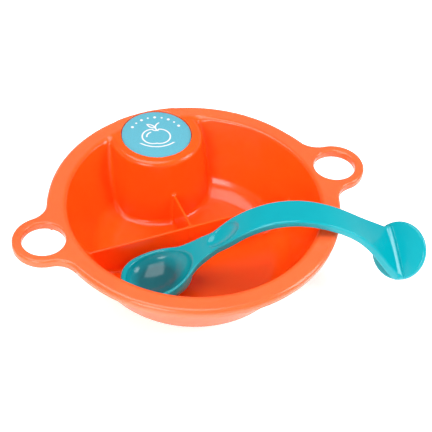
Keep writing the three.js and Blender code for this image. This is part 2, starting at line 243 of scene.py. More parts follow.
# finishes
class Signal:  # one socket, so that sums of sockets and numbers read as sums
    def __init__(self, tree, socket):
        self.tree, self.socket = tree, socket

    def maths(self, how, *others):
        made = self.tree.nodes.new("ShaderNodeMath")
        made.operation = how
        for slot, value in zip(made.inputs, others):
            joinTo(self.tree, slot, value)
        return Signal(self.tree, made.outputs[0])

    def __add__(self, other): return self.maths("ADD", self, other)
    def __radd__(self, other): return self.maths("ADD", other, self)
    def __sub__(self, other): return self.maths("SUBTRACT", self, other)
    def __rsub__(self, other): return self.maths("SUBTRACT", other, self)
    def __mul__(self, other): return self.maths("MULTIPLY", self, other)
    def __rmul__(self, other): return self.maths("MULTIPLY", other, self)
    def __truediv__(self, other): return self.maths("DIVIDE", self, other)
    def __abs__(self): return self.maths("ABSOLUTE", self)


def joinTo(tree, slot, value):
    if isinstance(value, Signal):
        tree.links.new(value.socket, slot)
    else:
        slot.default_value = value


def madeNode(tree, kind, settings=None, output=0, **values):
    made = tree.nodes.new(kind)
    for key, value in (settings or {}).items():
        setattr(made, key, value)
    for key, value in values.items():  # i0, i1 and so on count the sockets
        slot = int(key[1:]) if key[1:].isdigit() else key.replace("_", " ")
        joinTo(tree, made.inputs[slot], value)
    return Signal(tree, made.outputs[output])


class Finish:  # a material with its Principled shader
    def __init__(self, name, **constants):
        self.material = bpy.data.materials.new(name)
        self.material.use_nodes = True
        self.tree = self.material.node_tree
        self.shader = self.tree.nodes["Principled BSDF"]
        for key, value in constants.items():
            self.shader.inputs[key.replace("_", " ")].default_value = value

    def node(self, kind, settings=None, output=0, **values):
        return madeNode(self.tree, kind, settings, output, **values)

    def place(self):  # where a point lies on the object, in metres
        return self.node("ShaderNodeTexCoord", output=3)

    def noise(self, scale, detail=2.0, rough=0.5):
        return self.node("ShaderNodeTexNoise", Vector=self.place(), Scale=scale, Detail=detail,
                         Roughness=rough)

    def span(self, signal, low, high, outLow, outHigh):
        return self.node("ShaderNodeMapRange", i0=signal, i1=low, i2=high, i3=outLow, i4=outHigh)

    def blend(self, factor, first, second):
        made = self.tree.nodes.new("ShaderNodeMix")
        made.data_type = "RGBA"
        joinTo(self.tree, made.inputs[0], factor)
        joinTo(self.tree, made.inputs[6], first)
        joinTo(self.tree, made.inputs[7], second)
        return Signal(self.tree, made.outputs[2])

    def feed(self, name, signal):
        self.tree.links.new(signal.socket, self.shader.inputs[name])

    def bump(self, height, strength, distance):
        self.feed("Normal", self.node("ShaderNodeBump", Strength=strength, Distance=distance,
                                      Height=height))


def opaque(red, green, blue):
    return (red, green, blue, 1.0)


# the bowl moulding
bowl = {
    "rimTop": 47.0, "rimRadius": 82.5, "rimUnder": 44.5, "rimRound": 3.2,
    "lipRound": 1.3, "skirtFoot": 41.0, "skirtThick": 1.7, "skirtDraft": 0.9,
    "wallFoot": 55.5, "wallLean": 0.3973, "wallThick": 2.7, "floorTop": 4.5, "floorUnder": 2.0,
    "floorBlend": 9.0, "footOuter": 53.4, "footInner": 50.4, "footGap": 0.3,
    "ringX": 87.6, "ringHole": 11.9, "ringRadius": 17.2, "ringBlend": 12.0, "ringThick": 5.3,
    "ringEdge": 1.5, "ringRoot": 68.8,
    "dividerY": 2.5, "dividerTop": 24.0, "dividerRoot": 1.45, "dividerTip": 0.85,
    "columnY": 60.3, "columnFoot": 33.0, "columnTop": 27.0, "columnRound": 3.0,
    "columnBlend": 3.2, "wallThickness": 2.5, "recess": 20.85, "recessFloor": 41.2,
    "ceiling": 39.4, "guide": 6.3, "postRadius": 3.4, "postFoot": 10.6, "pilot": 1.6,
    "pilotTop": 19.2, "screws": ((0.0, 73.8), (-18.0, 47.7), (18.0, 47.7)),
    "undersideRound": 5.5, "underRound": 1.0, "ringSpan": 25.4, "ringZone": (72, 84),
    "ringZoneHalf": 34, "holeRound": 1.3, "dividerTopRound": 0.75, "dividerJoin": 2.0,
    "columnZone": (30, 36), "recessRound": 0.35, "gridStep": 0.75, "faces": 190000,
}


def rimEdge(z):  # outside of the rim at a height: drafted below, plumb at the top
    low = bowl["rimRadius"] - bowl["skirtDraft"]
    return low + bowl["skirtDraft"] * np.clip((z - bowl["skirtFoot"]) / 4.6, 0, 1)


def columnSide(x, y, z):
    lean = (bowl["columnFoot"] - bowl["columnTop"]) / bowl["rimTop"]
    fromAxis = np.hypot(x, y - bowl["columnY"])
    return (fromAxis - bowl["columnFoot"] + lean * z) / math.hypot(1, lean)


def handlePlan(x, y):  # the rim's outline with the two rings blended into it
    reach = bowl["rimRadius"] + bowl["ringBlend"]
    ringReach = bowl["ringRadius"] + bowl["ringBlend"]
    bx = (reach ** 2 - ringReach ** 2 + bowl["ringX"] ** 2) / (2 * bowl["ringX"])
    by = math.sqrt(reach ** 2 - bx ** 2)
    ax, ay = np.abs(x), np.abs(y)
    disc = np.hypot(ax, ay) - bowl["rimRadius"]
    ring = np.hypot(ax - bowl["ringX"], ay) - bowl["ringRadius"]
    cx = bowl["ringX"]
    between = (ay * bx < ax * by) & ((ax - cx) * by < (bx - cx) * ay)
    fillet = bowl["ringBlend"] - np.hypot(ax - bx, ay - by)
    return np.where(between, fillet, np.minimum(disc, ring))


def shellField(x, y, z):
    b = bowl
    r = np.hypot(x, y)
    lean = math.hypot(1, b["wallLean"])
    # the wall, the floor, the foot ring and the hanging edge of the rim
    inner = (r - b["wallFoot"] - b["wallLean"] * (z - 7.0)) / lean
    outer = inner - b["wallThick"]
    rim = r - rimEdge(z)
    body = both(outer, b["floorUnder"] - z, b["undersideRound"])
    foot = both(np.maximum(r - b["footOuter"], b["footInner"] - r),
                np.maximum(b["footGap"] - z, z - 4.0), 0.4)
    body = either(body, foot, 0.6)
    under = both(r - rimEdge(z) + b["skirtThick"], z - b["rimUnder"], b["underRound"])
    envelope = without(both(rim, b["skirtFoot"] - z, 0.5), under, 0.2)
    body = either(body, envelope, 1.4)
    # the column
    column = columnSide(x, y, z)
    blend = 3.0 * np.clip((40 - z) / 6, 0, 1) + 0.02
    body = either(body, np.maximum(np.maximum(column, rim), b["footGap"] - z), blend)
    # the rim with its two ring handles
    plate = both(handlePlan(x, y) + 0 * z, b["rimTop"] - b["ringThick"] - z, 1.2)
    plate = np.maximum(plate, np.maximum(b["ringRoot"] - np.abs(x),
                                         np.abs(y) - b["ringSpan"]))
    body = np.minimum(body, plate)
    nearRing = ramp(np.abs(x), *b["ringZone"]) * (np.abs(y) < b["ringZoneHalf"])
    edge = b["rimRound"] + (b["ringEdge"] - b["rimRound"]) * nearRing
    body = both(body, z - b["rimTop"], edge)
    hole = b["ringHole"] - np.hypot(np.abs(x) - b["ringX"], y)
    body = both(body, hole + 0 * z, b["holeRound"])
    # the food space: column and dividers stand in it
    food = both(inner, b["floorTop"] - z, b["floorBlend"])
    food = both(food, -column, b["columnBlend"])
    half = b["dividerRoot"] + (b["dividerTip"] - b["dividerRoot"]) * z / b["dividerTop"]
    across = np.abs(y - b["dividerY"]) - half
    toColumn = both(np.abs(x) - half, b["dividerY"] - y, 0.1)
    divider = both(either(across, toColumn, b["dividerJoin"]), z - b["dividerTop"],
                   b["dividerTopRound"])
    food = both(food, -divider, b["dividerJoin"])
    nearColumn = 1 - ramp(np.hypot(x, y - b["columnY"]), *b["columnZone"])
    lip = b["lipRound"] + (b["columnRound"] - b["lipRound"]) * nearColumn
    body = np.maximum(body, both(-food, z - b["rimTop"], lip))
    # the inside of the column, and the posts for the screws
    hollow = both(column + b["wallThickness"], z - b["ceiling"], 1.0)
    hollow = both(hollow, r - rimEdge(z) + b["wallThickness"], 1.0)
    body = without(body, hollow, 0.2)
    for px, py in b["screws"]:
        post = np.hypot(x - px, y - py)
        sleeve = np.maximum(np.maximum(post - b["postRadius"], b["postFoot"] - z),
                            z - b["ceiling"] - 0.3)
        body = np.minimum(body, np.maximum(sleeve, r - rimEdge(z) + 0.3))
        body = np.maximum(body, -np.maximum(post - b["pilot"], z - b["pilotTop"]))
    # the recess for the button and the guide for its hub
    well = np.hypot(x, y - b["columnY"])
    body = without(body, np.maximum(well - b["recess"], b["recessFloor"] - z),
                   b["recessRound"])
    return np.maximum(body, b["guide"] - well + 0 * z)


# the spoon
spoon = {
    "heading": -19.5, "origin": (-26.3, -12.7), "thick": 4.4, "handleHalf": 8.5,
    "arch": ((-32, 14.2), (-18, 14.2), (-6, 15), (6, 18), (18, 23.6), (27, 30.2), (36, 38.2),
             (45, 46.8), (55, 52.7), (64, 55.8), (72, 56.9), (81, 56.6), (89, 54.8), (98, 51.6),
             (107, 46.9), (116, 40.8), (126, 33.2), (137, 23)),
    "neckAt": 24.0, "stemHalf": 6.3, "bowlTurn": 18.0, "bowlLength": 46.0, "bowlWidth": 36.0,
    "bowlDepth": 10.5, "bowlWall": 2.0, "edgeRound": 1.1,
    "hollowAt": -25.0, "hollowHalf": 18.6, "flareNear": 5.6, "flareFar": 2.6,
    "twist": 0.36,
    "thumbAt": 37.0, "thumbLength": 23.0, "thumbWidth": 14.0, "thumbDepth": 2.9,
    "thumbLean": 42.0, "tabRadius": 16.6, "tabThick": 3.0, "tabAt": 136.2, "tabHeight": 27.0,
    "tabLean": 54.0, "tabTurn": 41.0, "tabEdge": 1.3,
    "stemGrows": (26, 42), "flareGrows": (110, 139), "twistGrows": (104, 138),
    "stemJoin": 7.0, "bellyJoin": 2.5, "crestRound": 1.3, "crestJoin": 2.2, "trimFrom": 118,
    "gridStep": 0.6, "faces": 120000,
}


def archLine():  # the middle of the strip as a fine smooth line
    points = np.array(spoon["arch"], dtype=float)
    ends = np.vstack([points[0], points, points[-1]])
    t = np.linspace(0, 1, 12, endpoint=False)[:, None]
    line = []
    for i in range(len(points) - 1):
        p0, p1, p2, p3 = ends[i:i + 4]
        line.append(0.5 * (2 * p1 + (p2 - p0) * t + (2 * p0 - 5 * p1 + 4 * p2 - p3) * t ** 2
                           + (3 * p1 - p0 - 3 * p2 + p3) * t ** 3))
    line = np.vstack(line + [points[-1:]])
    for _ in range(60):  # eases the bends between the points
        line[1:-1] = 0.5 * line[1:-1] + 0.25 * (line[:-2] + line[2:])
    return line


arch = archLine()


def fromLine(line, u, v):  # nearest place on an open line: how far along, and the side distance
    shape = np.broadcast(u, v).shape
    u, v = np.broadcast_to(u, shape).astype(float), np.broadcast_to(v, shape).astype(float)
    best = np.full(shape, 1e9)
    side = np.zeros(shape)
    along = np.zeros(shape)
    for a, b in zip(line[:-1], line[1:]):
        d = b - a
        length = math.hypot(*d)
        t = ((u - a[0]) * d[0] + (v - a[1]) * d[1]) / length ** 2
        t = np.clip(t, 0, 1)
        du, dv = u - a[0] - t * d[0], v - a[1] - t * d[1]
        far = du * du + dv * dv
        nearer = far < best
        best = np.where(nearer, far, best)
        side = np.where(nearer, (d[0] * dv - d[1] * du) / length, side)
        along = np.where(nearer, a[0] + t * d[0], along)
    return along, side, np.sqrt(best)


def bezier(p0, p1, p2, p3, steps=16):
    t = np.linspace(0, 1, steps, endpoint=False)[:, None]
    p0, p1, p2, p3 = (np.array(p, dtype=float) for p in (p0, p1, p2, p3))
    return (p0 * (1 - t) ** 3 + 3 * p1 * t * (1 - t) ** 2 + 3 * p2 * t ** 2 * (1 - t)
            + p3 * t ** 3)


def bowlOutline():  # half of the egg with its stem, blunt tip at -length, stem end at 0
    tip, wide, stem = spoon["bowlLength"], spoon["bowlWidth"] / 2, spoon["stemHalf"]
    return np.vstack([
        bezier((-tip, 0), (-tip, wide * 0.62), (-tip * 0.82, wide), (-tip * 0.56, wide)),
        bezier((-tip * 0.56, wide), (-tip * 0.24, wide), (-tip * 0.14, stem), (2, stem)),
        [[0, stem], [14, stem]]])


eggLine = bowlOutline()


def egg(u, v, w, a, b, c):  # roughly the distance to an ellipsoid
    size = np.sqrt((u / a) ** 2 + (v / b) ** 2 + (w / c) ** 2) + 1e-6
    slope = np.sqrt((u / a ** 2) ** 2 + (v / b ** 2) ** 2 + (w / c ** 2) ** 2) + 1e-6
    return size * (size - 1) / slope


def spoonField(s, t, z):  # s along the handle, t across it, z up
    p = spoon
    along, side, _ = fromLine(arch, s, z)
    # the egg-shaped bowl, seen from above
    turn = math.radians(p["bowlTurn"])
    bu = (s - p["neckAt"]) * math.cos(turn) + t * math.sin(turn)
    bv = t * math.cos(turn) - (s - p["neckAt"]) * math.sin(turn)
    _, eggSide, eggFar = fromLine(eggLine, bu, np.abs(bv))
    eggPlan = np.where(eggSide < 0, -eggFar, eggFar)
    eggPlan = both(eggPlan, bu - 3.0, 3.0)
    # the handle, which flares and twists towards its tab
    half = p["stemHalf"] + (p["handleHalf"] - p["stemHalf"]) * ramp(along, *p["stemGrows"])
    flare = ramp(along, *p["flareGrows"])
    side = side - p["twist"] * ramp(along, *p["twistGrows"]) * t
    near, far = half + p["flareNear"] * flare, half + p["flareFar"] * flare
    handle = both(np.maximum(-t - near, t - far), 15.0 - s, 4.0)
    plan = either(handle + 0 * z, eggPlan + 0 * z, p["stemJoin"])
    flat = np.abs(side) - p["thick"] / 2
    strip = both(flat, plan, p["edgeRound"])
    strip = np.maximum(strip, np.maximum(-34.0 - s, s - 142.0))
    # the belly under the bowl and the hollow in it
    centre = -p["bowlLength"] * 0.55
    lip = p["arch"][2][1] + p["thick"] / 2
    long, broad = p["bowlLength"] * 0.43, (p["bowlWidth"] - 1) / 2
    belly = both(egg(bu - centre, bv, z - lip, long, broad, p["bowlDepth"]), side, 1.0)
    body = either(strip, belly, p["bellyJoin"])
    above = side - p["thick"] / 2
    hollow = egg(bu - p["hollowAt"], bv, above - 0.6, p["hollowHalf"], broad - p["bowlWall"],
                 p["bowlDepth"] - p["bowlWall"])
    body = without(body, hollow, 1.1)
    # the thumb rest
    lean = math.radians(p["thumbLean"])
    spot = np.interp(p["thumbAt"], arch[:, 0], arch[:, 1])
    lift = p["thick"] / 2 + 1.2
    du = s - p["thumbAt"] + lift * math.sin(lean)
    dw = z - spot - lift * math.cos(lean)
    tu = du * math.cos(lean) + dw * math.sin(lean)
    tw = dw * math.cos(lean) - du * math.sin(lean)
    body = without(body, egg(tu, t, tw, p["thumbLength"] / 2, p["thumbWidth"] / 2,
                             1.2 + p["thumbDepth"]), 0.45)
    # the round end tab, with a bead where the handle meets it
    tilt, swing = math.radians(p["tabLean"]), math.radians(p["tabTurn"])
    ds, dz = s - p["tabAt"], z - p["tabHeight"]
    du = ds * math.cos(swing) + t * math.sin(swing)
    dt = t * math.cos(swing) - ds * math.sin(swing)
    face = dz * math.cos(tilt) - du * math.sin(tilt)
    across = du * math.cos(tilt) + dz * math.sin(tilt)
    tab = both(np.hypot(across, dt) - p["tabRadius"], np.abs(face) - p["tabThick"] / 2,
               p["tabEdge"])
    body = both(body, -face, 0.5)
    crest = np.hypot(above + 0.5, face - p["tabThick"] / 2 - 1.1) - p["crestRound"]
    body = either(body, np.maximum(crest, np.maximum(-t - near, t - far)), p["crestJoin"])
    within = np.hypot(across, dt) - p["tabRadius"] + 0.4 - 0.9 * np.maximum(face - 2.5, 0)
    body = both(body, np.where(s > p["trimFrom"], within, -20.0), 1.0)
    return either(body, tab, 0.7)


shell = sculpted("bowlShell", shellField, (-106, -83, 0.3), (106, 83, 47), bowl["gridStep"],
                 bowl["faces"])
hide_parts("bowl_shell")
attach(shell, "bowl")

spoonPlace = (Matrix.Translation((*spoon["origin"], 0))
              @ Matrix.Rotation(math.radians(spoon["heading"]), 4, "Z"))
spoonPiece = sculpted("feedingSpoon", spoonField, (-28, -32, 0), (158, 26, 64), spoon["gridStep"],
                      spoon["faces"], spoonPlace)
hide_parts("spoon")
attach(spoonPiece, "spoon")


# release button, label, rod and plug, all turned about the column's axis
release = {
    "axis": (0.0, bowl["columnY"]),
    "button": [(0, 43.6), (2.5, 43.6), (2.5, 39.4), (6, 39.4), (6, 43.9), (20.5, 43.9),
               (20.5, 45.3), (0, 45.3)],
    "label": [(0, 45.6), (20.5, 45.6), (20.5, 46.0), (0, 46.0)],
    "rod": [(0, 5.6), (2.2, 5.6), (2.2, 37.1), (8.4, 37.1), (8.4, 39.1), (2.2, 39.1),
            (2.2, 43.3), (0, 43.3)],
    "plug": [(0, 3.2), (2.5, 3.2), (4.2, 4.25), (4.2, 5.3), (0, 5.3)],
    "rounding": 0.3, "labelRounding": 0.12, "plugRounding": 0.4,
}


def releasePiece(name, part, node, rounding):
    piece = turned(name, rounded(release[part], release[rounding]), release["axis"])
    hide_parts(node)
    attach(piece, "button")
    return piece


button = releasePiece("releaseButton", "button", "release_button", "rounding")
label = releasePiece("buttonLabel", "label", "button_label", "labelRounding")
rod = releasePiece("pushRod", "rod", "push_rod", "rounding")
plug = releasePiece("valvePlug", "plug", "valve_plug", "plugRounding")
print("button, label, rod and plug")


# suction cup, pad and carrier
under = {
    "cupCentre": 55.3, "cupRadius": 22.0, "cupTop": 7.4, "cupLip": 1.2,
    "neck": 4.9, "neckHead": 6.6, "headFoot": 10.6, "headTop": 13.2, "bore": 2.9,
    "padRadius": 50.1, "padTop": 1.7, "padBite": 33.3, "padGroove": 0.35, "padPitch": 4.5,
    "plateRadius": 28.85, "plateFoot": 7.7, "plateTop": 10.3, "towerInner": 7.6,
    "towerWall": 2.0, "towerTop": 16.8, "neckHole": 5.2, "rodHole": 2.5, "ventHalf": 2.0,
    "shaftHole": 1.6, "cupShoulder": 12.6, "dishTop": (11.5, 5.7), "dishEdge": (19.3, 1.3),
    "ventFoot": 11.1, "ventTop": 13.7,
}


def section(corners, r, z):  # signed distance to a closed outline of [radius, height] corners
    shape = np.broadcast(r, z).shape
    r, z = np.broadcast_to(r, shape).astype(float), np.broadcast_to(z, shape).astype(float)
    far = np.full(shape, 1e9)
    odd = np.zeros(shape, dtype=bool)
    for (r0, z0), (r1, z1) in zip(corners, corners[1:] + corners[:1]):
        dr, dz = r1 - r0, z1 - z0
        t = np.clip(((r - r0) * dr + (z - z0) * dz) / (dr * dr + dz * dz), 0, 1)
        far = np.minimum(far, np.hypot(r - r0 - t * dr, z - z0 - t * dz))
        if dz:
            odd ^= ((z0 > z) != (z1 > z)) & (r < r0 + (z - z0) * dr / dz)
    return np.where(odd, -far, far)


def cupField(x, y, z):
    u = under
    edge, top = u["cupRadius"], u["cupTop"] - 0.1
    outline = [(edge - u["cupLip"], 0.15), (edge - 0.1, 0.15), (edge - 1.7, 2.0),
               (u["cupShoulder"], top), (-30, top), (-30, u["dishTop"][1]), u["dishTop"],
               u["dishEdge"]]
    dish = section(outline, np.hypot(x, y - u["cupCentre"]), z) - 0.1
    axis = np.hypot(x, y - bowl["columnY"])
    stem = both(axis - u["neck"], np.maximum(6.5 - z, z - u["headTop"]), 0.2)
    head = both(axis - u["neckHead"] + 0.35 * np.maximum(z - u["headFoot"], 0),
                np.maximum(u["headFoot"] - z, z - u["headTop"]), 0.4)
    body = either(either(dish, stem, 0.25), head, 0.1)
    return both(body, u["bore"] - axis, 0.2)


def padField(x, y, z):
    u = under
    r = np.hypot(x, y)
    groove = u["padGroove"] * (0.5 + 0.5 * np.cos(r * 2 * math.pi / u["padPitch"])) ** 3
    groove = groove * ramp(r, 4, 7) * (1 - ramp(r, 44, 47))
    disc = both(r - u["padRadius"], np.maximum(z - u["padTop"], groove - z), 0.4)
    return both(disc, u["padBite"] - np.hypot(x, y - bowl["columnY"]), 0.4)


def carrierField(x, y, z):
    u = under
    axis = np.hypot(x, y - bowl["columnY"])
    plate = both(axis - u["plateRadius"], np.maximum(z - u["plateTop"], u["plateFoot"] - z), 0.3)
    tower = both(axis - u["towerInner"] - u["towerWall"],
                 np.maximum(z - u["towerTop"], u["plateFoot"] - z), 0.4)
    body = either(plate, tower, 0.8)
    room = np.maximum(axis - u["towerInner"],
                      np.maximum(u["plateTop"] - z, z - u["towerTop"] + u["towerWall"]))
    neck = np.maximum(axis - u["neckHole"], z - u["plateTop"] - 0.5)
    body = without(without(body, room, 0.2), neck, 0.2)
    body = both(body, u["rodHole"] - axis, 0.2)
    vent = np.maximum(np.abs(y - bowl["columnY"]) - u["ventHalf"],
                      np.maximum(u["ventFoot"] - z, z - u["ventTop"]))
    body = without(body, vent, 0.2)
    for px, py in bowl["screws"]:
        body = both(body, u["shaftHole"] - np.hypot(x - px, y - py), 0.2)
    return both(body, np.hypot(x, y) - rimEdge(z) + 2.8, 0.3)


cup = sculpted("suctionCup", cupField, (-23, 32, 0), (23, 78, 14), 0.5, 40000)
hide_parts("suction_cup")
pad = sculpted("nonSlipPad", padField, (-51, -51, 0), (51, 51, 2), 0.6, 50000)
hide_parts("non_slip_pad")
carrier = sculpted("cupCarrier", carrierField, (-30, 30, 7.7), (30, 82, 17), 0.5, 40000)
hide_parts("cup_carrier")
for piece in (cup, pad, carrier):
    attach(piece, "bowl")


# return spring and carrier screws, grown by geometry nodes
spring = {"coil": 4.3, "wire": 0.6, "turns": 7.0, "foot": 17.7, "height": 18.5, "travel": 2.0}
screw = {"head": 2.7, "headThick": 1.8, "shaft": 1.15, "thread": 0.22, "foot": 5.6, "top": 18.6,
         "pitch": 1.1, "slot": 0.7}


class Grower:  # a geometry node tree with named size inputs
    def __init__(self, name, sizes, material):
        self.tree = bpy.data.node_groups.new(name, "GeometryNodeTree")
        face = self.tree.interface
        face.new_socket("Geometry", in_out="INPUT", socket_type="NodeSocketGeometry")
        self.keys = {}
        for key in sizes:
            made = face.new_socket(key, in_out="INPUT", socket_type="NodeSocketFloat")
            self.keys[key] = made.identifier
        face.new_socket("Geometry", in_out="OUTPUT", socket_type="NodeSocketGeometry")
        self.given = self.tree.nodes.new("NodeGroupInput")
        self.sizes, self.material = sizes, material

    def size(self, key):
        return Signal(self.tree, self.given.outputs[key])

    def node(self, kind, settings=None, output=0, **values):
        return madeNode(self.tree, kind, settings, output, **values)

    def vector(self, x=0.0, y=0.0, z=0.0):
        return self.node("ShaderNodeCombineXYZ", X=x, Y=y, Z=z)

    def finish(self, thing, shape):
        real = self.node("GeometryNodeRealizeInstances", Geometry=shape)
        done = self.node("GeometryNodeSetMaterial", Geometry=real, Material=self.material)
        out = self.tree.nodes.new("NodeGroupOutput")
        self.tree.links.new(done.socket, out.inputs[0])
        grow = thing.modifiers.new("grow", "NODES")
        grow.node_group = self.tree
        for key, identifier in self.keys.items():
            grow[identifier] = float(self.sizes[key]) * (1 if key == "turns" else mm)
        applied(thing)


def seed(name, places):  # a mesh of bare points for a tree to grow from
    mesh = bpy.data.meshes.new(name)
    mesh.from_pydata([Vector(p) * mm for p in places], [], [])
    thing = bpy.data.objects.new(name, mesh)
    scene.collection.objects.link(thing)
    return thing


# plastics, rubber and steel
# deep is the shell's own orange; the paler second tones are painted sheen on the rim and outsides
shellTones = {
    "deep": ((1.0, 0.098, 0.004), (1.0, 0.112, 0.006)),
    "paintedSheen": ((1.0, 0.145, 0.038), (1.0, 0.165, 0.046)), "paintedSheenFrom": (0.0002, 0.0025),
}


def orangePlastic():
    # the faint red emission is painted light: a red glow over the whole shell that lifts its shade
    f = Finish("bowlPlastic", Roughness=0.2, IOR=1.5, Subsurface_Weight=0.25,
               Subsurface_Scale=0.006, Subsurface_Radius=(1.0, 0.22, 0.06),
               Emission_Color=(1.0, 0.0, 0.0, 1.0), Emission_Strength=0.1)
    # faint clouds of tone in the moulding
    cloud = f.span(f.noise(18, 3), 0.35, 0.65, 0.0, 1.0)
    x, y, z = (f.node("ShaderNodeSeparateXYZ", output=n, Vector=f.place()) for n in range(3))
    r = (x * x + y * y).maths("SQRT", x * x + y * y)
    wallAt = (bowl["wallFoot"] - 7.0 * bowl["wallLean"]) * mm + z * bowl["wallLean"]
    # painted sheen: thin edges, the rim and the outsides are painted paler in place of the glossy
    # sheen on them
    paintedSheen = f.span(r - wallAt, *shellTones["paintedSheenFrom"], 0.0, 1.0)
    deep, light = (f.blend(cloud, *[opaque(*c) for c in shellTones[k]])
                   for k in ("deep", "paintedSheen"))
    f.feed("Base Color", f.blend(paintedSheen, deep, light))
    f.feed("Roughness", f.span(f.noise(260, 4), 0.3, 0.7, 0.15, 0.24))
    f.bump(f.noise(900, 3), 0.05, 0.0003)
    return f.material


# the hollow tone is painted shade for the spoon's hollow; clear is the spoon's own colour
spoonTones = {
    "clear": ((0.0, 0.38, 0.45), (0.0, 0.415, 0.485)), "hollow": (0.012, 0.12, 0.145),
    "hollowMiddle": (-0.0287, -0.0201, 0.011), "hollowShadeFade": (0.01, 0.0185), "hollowShadeMost": 0.92,
}


def spoonPlastic():
    f = Finish("spoonPlastic", Roughness=0.16, IOR=1.45, Subsurface_Weight=0.1,
               Subsurface_Scale=0.003, Subsurface_Radius=(0.1, 0.7, 1.0), Coat_Roughness=0.05)
    cloud = f.span(f.noise(25, 3), 0.35, 0.65, 0.0, 1.0)
    clear = f.blend(cloud, *[opaque(*c) for c in spoonTones["clear"]])
    middle = f.node("ShaderNodeVectorMath", {"operation": "DISTANCE"}, output=1, i0=f.place(),
                    i1=spoonTones["hollowMiddle"])
    facing = f.node("ShaderNodeSeparateXYZ", output=2,
                    Vector=f.node("ShaderNodeNewGeometry", output=1))
    inside = (f.span(middle, *spoonTones["hollowShadeFade"], spoonTones["hollowShadeMost"], 0.0)
              * f.span(facing, 0.2, 0.6, 0.0, 1.0))  # painted shade: the upward faces in the spoon's hollow are painted darker and greyer
    f.feed("Base Color", f.blend(inside, clear, opaque(*spoonTones["hollow"])))
    f.feed("Roughness", f.span(f.noise(300, 4), 0.3, 0.7, 0.12, 0.2))
    f.bump(f.noise(700, 3), 0.04, 0.0003)
    return f.material


labelArt = {
    "turn": -16.6, "line": 0.42, "fade": 0.12, "dots": 9, "dotArc": (28.0, 152.0),
    "dotRadius": 15.6, "dotSize": 0.62, "fruit": (-0.2, -1.6, 6.4), "dimple": 2.3,
    "dish": (0.0, 4.6, 15.4), "dishTop": -7.6, "ground": (0.115, 0.45, 0.575),
    "ink": (0.86, 0.83, 0.84),
}


def labelPrint():
    a = labelArt
    f = Finish("labelPrint", Roughness=0.5, IOR=1.45)
    away = f.node("ShaderNodeVectorMath", {"operation": "SUBTRACT"}, i0=f.place(),
                  i1=(release["axis"][0] * mm, release["axis"][1] * mm, 0.0))
    spun = f.node("ShaderNodeVectorRotate", {"rotation_type": "Z_AXIS"}, Vector=away,
                    Angle=math.radians(-a["turn"]))
    u = f.node("ShaderNodeSeparateXYZ", Vector=spun) * 1000.0
    v = f.node("ShaderNodeSeparateXYZ", output=1, Vector=spun) * 1000.0

    def gap(x, y):  # distance from a place on the label
        du, dv = u - x, v - y
        return (du * du + dv * dv).maths("SQRT", du * du + dv * dv)

    def least(signals):
        found = signals[0]
        for other in signals[1:]:
            found = found.maths("MINIMUM", found, other)
        return found

    # an apple in outline: body, dip, stem, leaf, shine, and a plain arc under it
    x, y, size = a["fruit"]
    outline = abs(least([gap(x - 1.9, y) - size, gap(x + 1.9, y) - size]))
    topDip = gap(x, y + size + 1.1) - a["dimple"]
    fruit = outline.maths("MAXIMUM", outline, (-1.0) * topDip)
    dip = abs(topDip)
    dip = dip.maths("MAXIMUM", dip, v - (y + size - 0.6))
    stem = abs(gap(x + 4.6, y + size + 1.6) - 4.6)
    stem = stem.maths("MAXIMUM", stem, u - (x + 2.2))
    stem = stem.maths("MAXIMUM", stem, (y + size - 1.2) - v)
    one, two = gap(x - 0.6, y + size + 5.6) - 4.3, gap(x - 4.4, y + size + 0.2) - 4.3
    leaf = abs(one.maths("MAXIMUM", one, two))
    leaf = leaf.maths("MAXIMUM", leaf, one - 0.2)
    shine = abs(gap(x - 1.6, y) - 4.0)
    shine = shine.maths("MAXIMUM", shine, u - (x - 3.2))
    shine = shine.maths("MAXIMUM", shine, y - v)
    cx, cy, cr = a["dish"]
    dish = abs(gap(cx, cy) - cr)
    dish = dish.maths("MAXIMUM", dish, v - a["dishTop"])
    lines = least([fruit, dip, stem, leaf, shine, dish]) - a["line"]
    dots = []
    low, high = a["dotArc"]
    for i in range(a["dots"]):
        angle = math.radians(low + (high - low) * i / (a["dots"] - 1))
        size = a["dotSize"] * (1.0 if i % 2 else 1.45)
        dots.append(gap(a["dotRadius"] * math.cos(angle), a["dotRadius"] * math.sin(angle)) - size)
    ink = f.span(least([lines] + dots), -a["fade"], a["fade"], 1.0, 0.0)
    grain = f.span(f.noise(2600, 2, 0.7), 0.3, 0.7, 0.0, 1.0)
    ground = f.blend(grain, opaque(*[0.88 * c for c in a["ground"]]),
                     opaque(*[1.1 * c for c in a["ground"]]))
    f.feed("Base Color", f.blend(ink, ground, opaque(*a["ink"])))
    f.feed("Roughness", f.span(grain, 0.0, 1.0, 0.42, 0.6))
    f.bump(grain, 0.15, 0.0001)
    return f.material


def mouldedPlastic(name, first, second, rough):
    f = Finish(name, Roughness=rough)
    f.feed("Base Color", f.blend(f.span(f.noise(60, 3), 0.35, 0.65, 0.0, 1.0), opaque(*first),
                                 opaque(*second)))
    f.feed("Roughness", f.span(f.noise(500, 3), 0.3, 0.7, rough - 0.05, rough + 0.08))
    f.bump(f.noise(1500, 2), 0.1, 0.0001)
    return f.material


def softRubber(name, first, second, weight):
    f = Finish(name, Roughness=0.4, Transmission_Weight=weight, IOR=1.42,
               Subsurface_Weight=0.2, Subsurface_Scale=0.003)
    f.feed("Base Color", f.blend(f.span(f.noise(45, 3), 0.3, 0.7, 0.0, 1.0), opaque(*first),
                                 opaque(*second)))
    f.feed("Roughness", f.span(f.noise(400, 4), 0.3, 0.7, 0.3, 0.5))
    f.bump(f.noise(1200, 3), 0.12, 0.0002)
    return f.material


